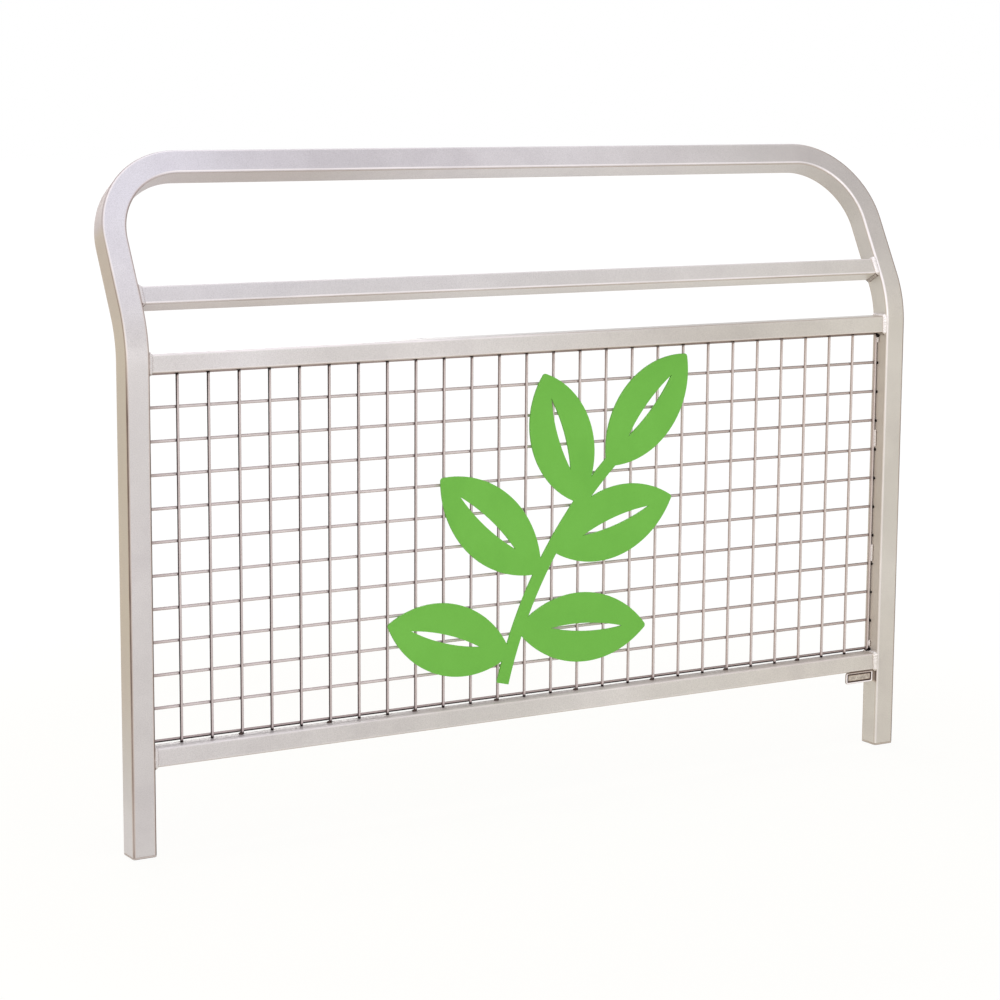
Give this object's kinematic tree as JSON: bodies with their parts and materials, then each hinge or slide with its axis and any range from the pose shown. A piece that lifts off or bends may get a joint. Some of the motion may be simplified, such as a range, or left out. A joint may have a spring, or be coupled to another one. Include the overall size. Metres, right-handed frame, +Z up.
{
  "type": "pedestrian guard railing",
  "caption": "Pedestrian guard railing: a bent square-tube hoop with a backward-leaning top, cross rails, welded mesh infill and a leaf-shaped plate.",
  "frame": {"origin": "middle of the left post's foot face, seen from the front", "axes": "+X along the railing from the left post to the right post, +Y towards the side the top leans to, +Z up"},
  "size_m": [1.5, 0.1809, 1.0864],
  "materials": {
    "coated_steel": "satin silvery metallic coating with faint warm mottling",
    "weld": "coated weld bead, slightly glossier than the tube",
    "mesh_wire": "satin silvery metallic coating on drawn wire",
    "green_plate": "smooth leaf-green powder coat",
    "tag": "satin silvery metallic coating"
  },
  "bodies": {
    "root": {"hoop_tube": "coated_steel", "left_foot_cap": "coated_steel", "right_foot_cap": "coated_steel", "bottom_rail": "coated_steel", "bottom_rail_weld_left": "weld", "bottom_rail_weld_right": "weld", "panel_top_rail": "coated_steel", "panel_top_rail_weld_left": "weld", "panel_top_rail_weld_right": "weld", "mid_rail": "coated_steel", "mid_rail_weld_left": "weld", "mid_rail_weld_right": "weld", "mesh_panel": "mesh_wire", "mesh_tacks_top": "weld", "mesh_tacks_bottom": "weld", "mesh_tacks_left": "weld", "mesh_tacks_right": "weld", "motif_plate": "green_plate", "motif_tacks": "weld", "tag_plate": "tag", "tag_angle": "tag"}
  },
  "joints": []
}
